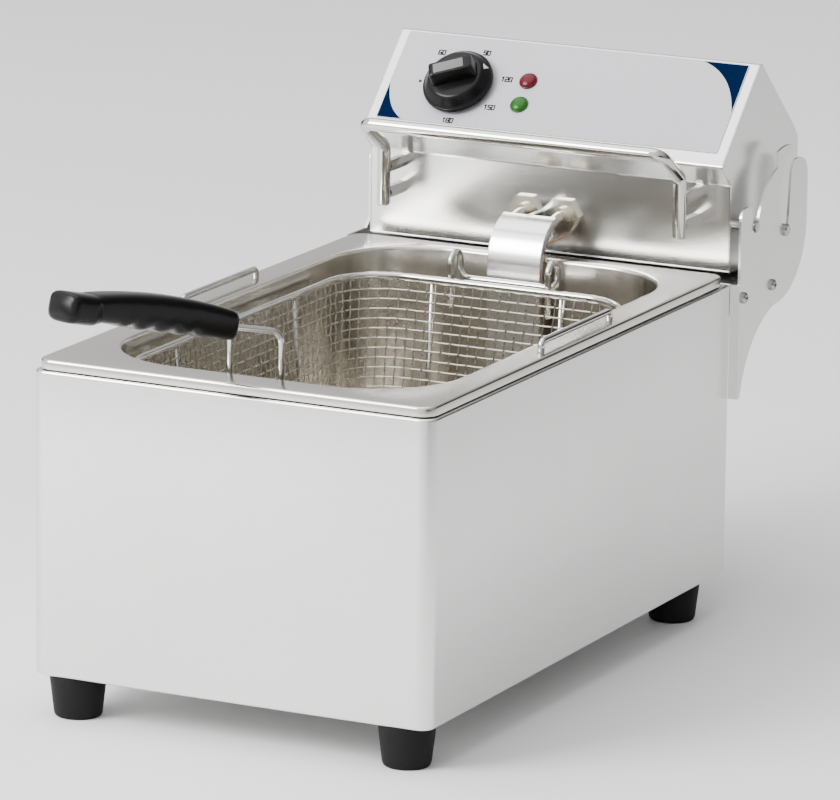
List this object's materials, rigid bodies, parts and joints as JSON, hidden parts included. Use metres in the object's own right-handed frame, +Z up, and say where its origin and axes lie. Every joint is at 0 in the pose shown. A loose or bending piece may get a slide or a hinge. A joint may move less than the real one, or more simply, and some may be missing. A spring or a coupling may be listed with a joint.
{
  "type": "deep_fryer",
  "caption": "Countertop deep fryer: steel casing with lift-out oil tank, wire basket with black grip, and a tilting control head carrying the thermostat knob and heating element",
  "frame": {"origin": "Centre of the casing's footprint, on the floor under the rubber feet", "axes": "+X to the fryer's own right seen from its front, +Y from the front to the back, +Z up; the front with the basket handle faces -Y"},
  "size_m": [0.2832, 0.6627, 0.345],
  "materials": {
    "casing_steel": "vertical brushed stainless sheet",
    "bracket_steel": "brushed stainless plate",
    "head_steel": "brushed stainless sheet",
    "hood_steel": "bright folded stainless",
    "tank_steel": "deep drawn stainless, satin polished",
    "chrome_wire": "plated wire",
    "mesh_steel": "tinned steel wire mesh",
    "fastener_steel": "plain stainless hardware",
    "foot_rubber": "matt black rubber",
    "black_plastic": "black satin-gloss phenolic",
    "dark_plastic": "dark grey moulding",
    "inlay_grey": "grey pointer inlay",
    "faceplate_film": "pale printed film with blue corners",
    "red_lens": "translucent red lens",
    "green_lens": "translucent green lens",
    "pale_plastic": "pale moulded insulator",
    "button_red": "red push button",
    "wire_brown": "insulated wire",
    "element_tube": "heat tinted stainless tube",
    "brass_nut": "nickel plated brass",
    "copper_tube": "copper capillary and bulb"
  },
  "bodies": {
    "casing": {"outer_casing": "casing_steel", "rear_panel": "casing_steel", "rear_panel_screws": "fastener_steel", "base_plate": "casing_steel", "rubber_feet": "foot_rubber", "foot_screws": "fastener_steel", "side_bracket_left": "bracket_steel", "side_bracket_right": "bracket_steel", "bracket_screws": "fastener_steel", "rear_crossmember": "casing_steel", "oil_tank": "tank_steel", "tank_handle_left": "chrome_wire", "tank_handle_right": "chrome_wire"},
    "basket": {"basket_mesh": "mesh_steel", "basket_rim": "chrome_wire", "basket_frame_wires": "chrome_wire", "basket_rear_hooks": "chrome_wire", "basket_handle_wires": "chrome_wire", "basket_grip": "black_plastic"},
    "head": {"head_shell": "head_steel", "head_cheek_left": "head_steel", "head_cheek_right": "head_steel", "head_base_plate": "head_steel", "head_screws": "fastener_steel", "control_faceplate": "faceplate_film", "red_lamp": "red_lens", "green_lamp": "green_lens", "lamp_bodies": "pale_plastic", "thermostat": "dark_plastic", "thermostat_nut": "fastener_steel", "safety_cutout": "pale_plastic", "terminal_block": "pale_plastic", "contactor": "dark_plastic", "head_wiring": "wire_brown", "cord_bushing": "black_plastic", "bushing_nut": "black_plastic", "lifting_bar": "chrome_wire", "bar_standoffs": "fastener_steel", "pivot_pins": "fastener_steel", "holding_pin": "fastener_steel", "element_hood": "hood_steel", "heating_element": "element_tube", "element_nuts": "brass_nut", "element_clip": "hood_steel", "thermostat_bulbs": "copper_tube", "capillary_tubes": "copper_tube"},
    "knob": {"thermostat_knob": "black_plastic", "knob_inlay": "inlay_grey", "thermostat_spindle": "fastener_steel"},
    "button": {"reset_button": "button_red"}
  },
  "joints": [
    {"name": "head_tilt", "type": "hinge", "parent": "casing", "child": "head", "pos_m": [0, 0.28, 0.236], "axis": [-1, 0, 0], "range_deg": [0, 55]},
    {"name": "basket_lift", "type": "slide", "parent": "casing", "child": "basket", "axis": [0, 0, 1], "range_m": [0, 0.48]},
    {"name": "thermostat_turn", "type": "hinge", "parent": "head", "child": "knob", "pos_m": [-0.0708, 0.23665, 0.31615], "axis": [0, 0.7071, -0.7071], "range_deg": [0, 270]},
    {"name": "reset_push", "type": "slide", "parent": "head", "child": "button", "axis": [0, -1, 0], "range_m": [0, 0.002], "stiffness_N_per_m": 400}
  ],
  "couplings": [
    {"joint": "basket_lift", "follows": "head_tilt", "m_per_rad": 0.5}
  ]
}
